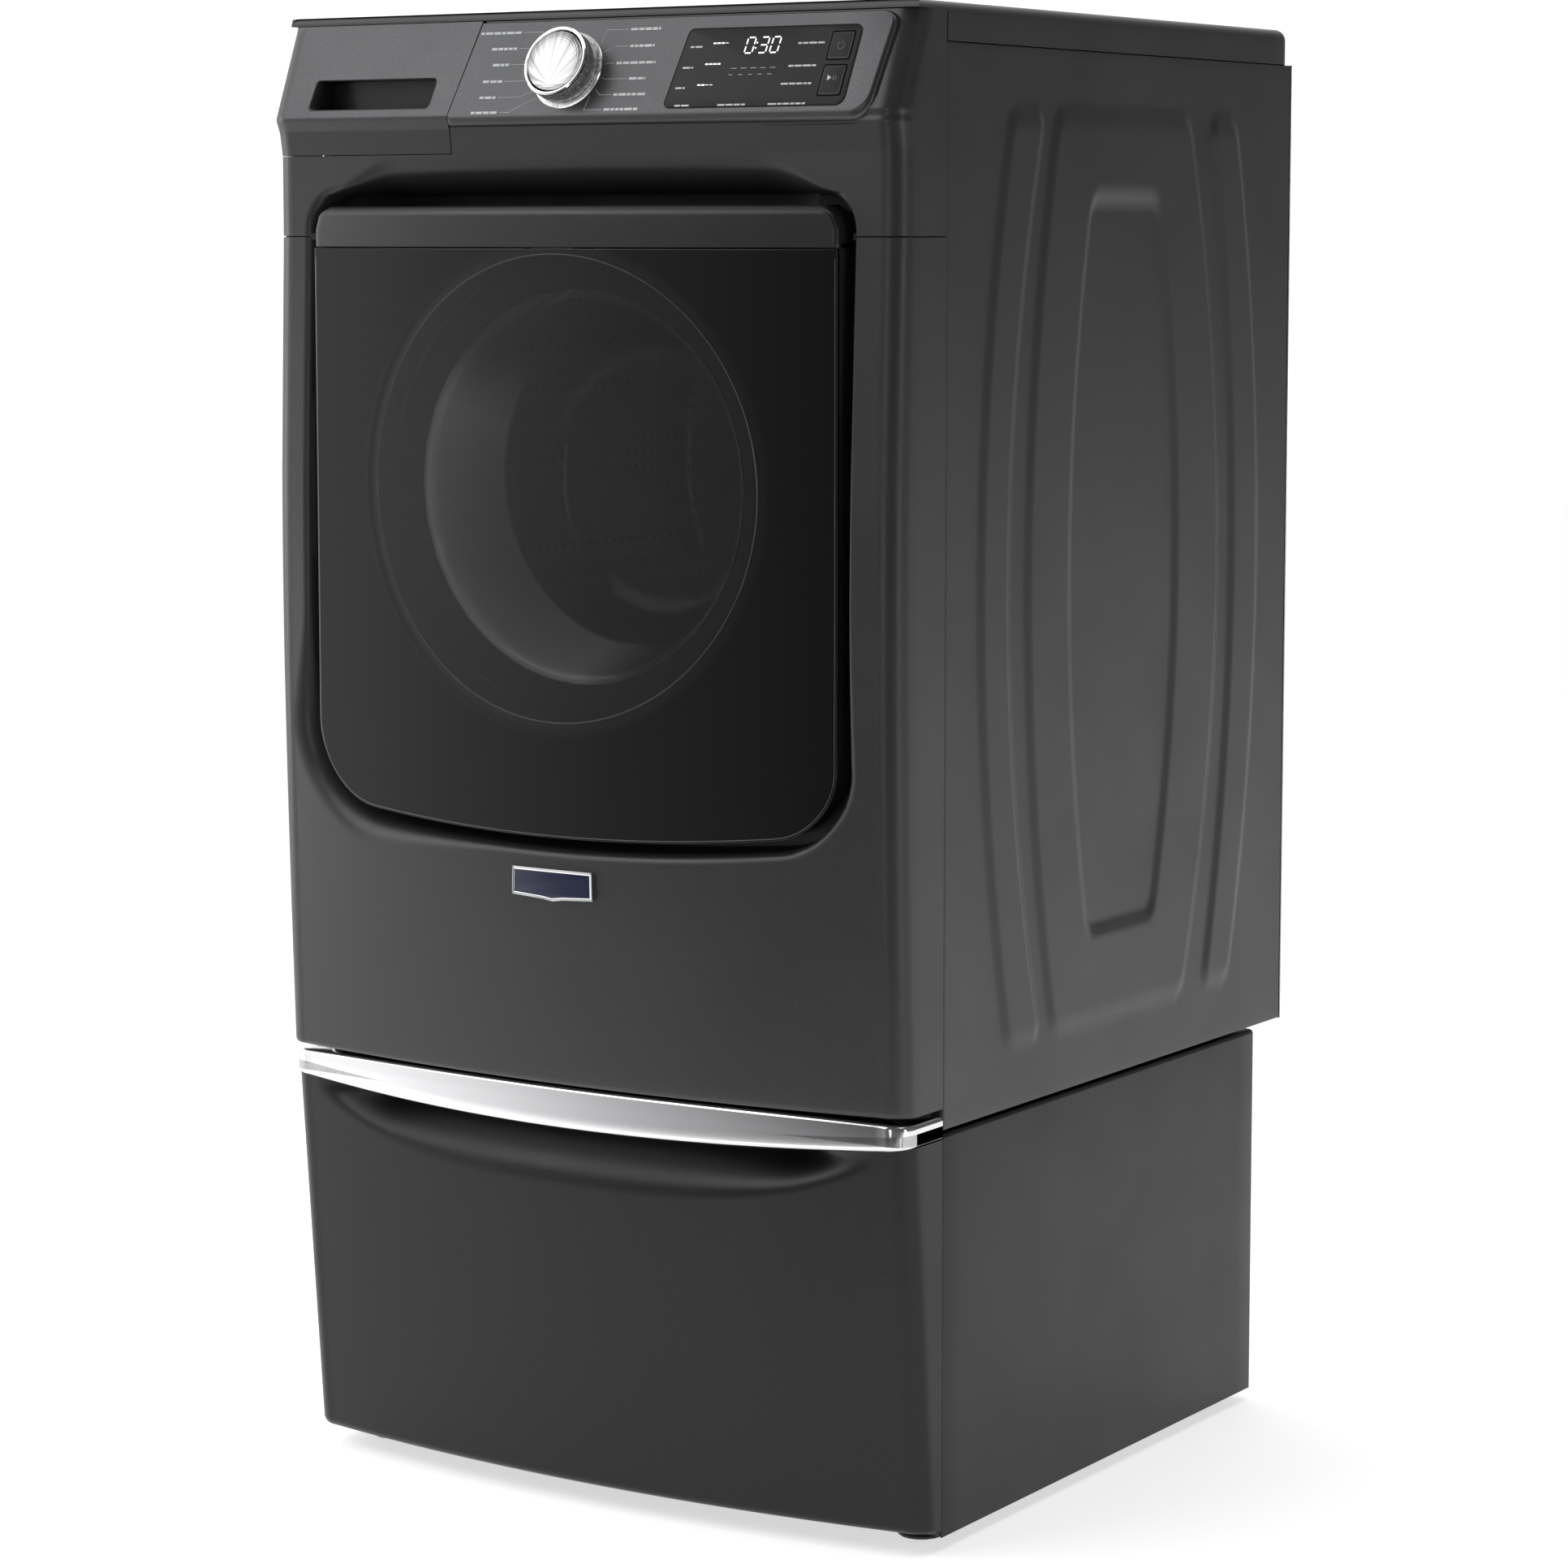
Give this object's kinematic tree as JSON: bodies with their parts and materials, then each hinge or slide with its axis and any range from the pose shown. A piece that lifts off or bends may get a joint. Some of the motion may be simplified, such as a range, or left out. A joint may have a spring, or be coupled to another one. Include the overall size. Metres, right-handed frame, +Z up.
{
  "type": "front load washing machine",
  "caption": "Graphite front load washing machine on a drawer pedestal, with a dark glass door, a dispenser drawer, a chrome dial and a dark control strip.",
  "frame": {"origin": "on the floor, under the middle of the machine", "axes": "+X to the machine's left-to-right as seen from the front, +Y towards the rear, +Z up; the front faces -Y"},
  "size_m": [0.686, 0.8132, 1.364],
  "materials": {
    "graphite_paint": "satin, fine metallic flake",
    "console_grey": "satin metallic",
    "chrome": "polished",
    "knob_metal": "brushed in circles",
    "black_gloss": "gloss",
    "dark_glass": "tinted, polished",
    "clear_glass": "polished",
    "grey_plastic": "matte",
    "black_plastic": "matte",
    "boot_rubber": "matte",
    "belt_rubber": "matte",
    "stainless": "satin",
    "zinc_steel": "galvanised",
    "cast_aluminium": "as cast",
    "concrete": "rough",
    "badge_plate": "gloss"
  },
  "bodies": {
    "cabinet": {"side_panel_left": "graphite_paint", "side_panel_right": "graphite_paint", "rear_panel": "zinc_steel", "top_panel": "graphite_paint", "base_frame": "zinc_steel", "front_panel": "graphite_paint", "upper_fascia": "graphite_paint", "console_face": "console_grey", "display_overlay": "black_gloss", "badge_plate": "badge_plate", "dispenser_housing": "grey_plastic", "door_boot": "boot_rubber", "door_lock": "black_plastic", "hinge_bracket": "zinc_steel", "inlet_valve": "black_plastic", "cord_gland": "black_plastic", "drain_pump": "black_plastic", "control_unit": "grey_plastic", "spring_left": "stainless", "spring_right": "stainless", "damper_left": "black_plastic", "damper_right": "black_plastic", "pedestal_case": "graphite_paint", "foot_front_left": "black_plastic", "foot_front_right": "black_plastic", "foot_rear_left": "black_plastic", "foot_rear_right": "black_plastic"},
    "tub": {"tub_front": "grey_plastic", "tub_rear": "grey_plastic", "counterweight_top": "concrete", "counterweight_front": "concrete", "motor": "black_plastic", "bearing_front": "stainless", "bearing_rear": "stainless", "shaft_seal": "boot_rubber", "drive_belt": "belt_rubber"},
    "drum": {"drum_basket": "stainless", "drum_spider": "cast_aluminium", "drum_shaft": "stainless", "drum_pulley": "cast_aluminium", "drum_baffle_1": "grey_plastic", "drum_baffle_2": "grey_plastic", "drum_baffle_3": "grey_plastic"},
    "motor_rotor": {"motor_pulley": "stainless"},
    "door": {"door_frame": "black_plastic", "door_window": "dark_glass", "door_trim": "graphite_paint", "door_bowl": "clear_glass", "door_inner_ring": "grey_plastic", "door_hinge_leaf": "zinc_steel", "door_latch_hook": "zinc_steel"},
    "dispenser": {"dispenser_front": "console_grey", "dispenser_tray": "grey_plastic"},
    "knob": {"knob_ring": "chrome"},
    "knob_button": {"knob_button": "knob_metal"},
    "power_key": {"power_key": "black_gloss"},
    "start_key": {"start_key": "black_gloss"},
    "pedestal_drawer": {"pedestal_drawer_front": "graphite_paint", "pedestal_drawer_box": "zinc_steel", "pedestal_handle_trim": "chrome"}
  },
  "joints": [
    {"name": "door_hinge", "type": "hinge", "parent": "cabinet", "child": "door", "pos_m": [-0.2765, -0.37, 0.939], "axis": [0, 0, -1], "range_deg": [0, 110]},
    {"name": "dispenser_slide", "type": "slide", "parent": "cabinet", "child": "dispenser", "axis": [0, -1, 0], "range_m": [0, 0.215]},
    {"name": "knob_turn", "type": "hinge", "parent": "cabinet", "child": "knob", "pos_m": [-0.008, -0.36167, 1.30878], "axis": [0, -0.93, 0.3677], "continuous": true},
    {"name": "knob_press", "type": "slide", "parent": "knob", "child": "knob_button", "axis": [0, 0.93, -0.3677], "range_m": [0, 0.0015], "stiffness_N_per_m": 1500, "springref_m": -0.0008},
    {"name": "power_press", "type": "slide", "parent": "cabinet", "child": "power_key", "axis": [0, 0.93, -0.3677], "range_m": [0, 0.0008], "stiffness_N_per_m": 800, "springref_m": -0.0005},
    {"name": "start_press", "type": "slide", "parent": "cabinet", "child": "start_key", "axis": [0, 0.93, -0.3677], "range_m": [0, 0.0008], "stiffness_N_per_m": 800, "springref_m": -0.0005},
    {"name": "tub_bounce", "type": "slide", "parent": "cabinet", "child": "tub", "axis": [0, 0, 1], "range_m": [-0.012, 0.012], "stiffness_N_per_m": 12000, "springref_m": 0.03872, "deforming": ["spring_left", "spring_right", "damper_left", "damper_right", "door_boot"]},
    {"name": "drum_spin", "type": "hinge", "parent": "tub", "child": "drum", "pos_m": [0, 0, 0.939], "axis": [0, 1, 0], "continuous": true},
    {"name": "motor_spin", "type": "hinge", "parent": "tub", "child": "motor_rotor", "pos_m": [0.07, 0.306, 0.56], "axis": [0, 1, 0], "continuous": true},
    {"name": "pedestal_drawer_slide", "type": "slide", "parent": "cabinet", "child": "pedestal_drawer", "axis": [0, -1, 0], "range_m": [0, 0.4]}
  ],
  "couplings": [
    {"joint": "motor_spin", "follows": "drum_spin", "ratio": 12.5}
  ]
}
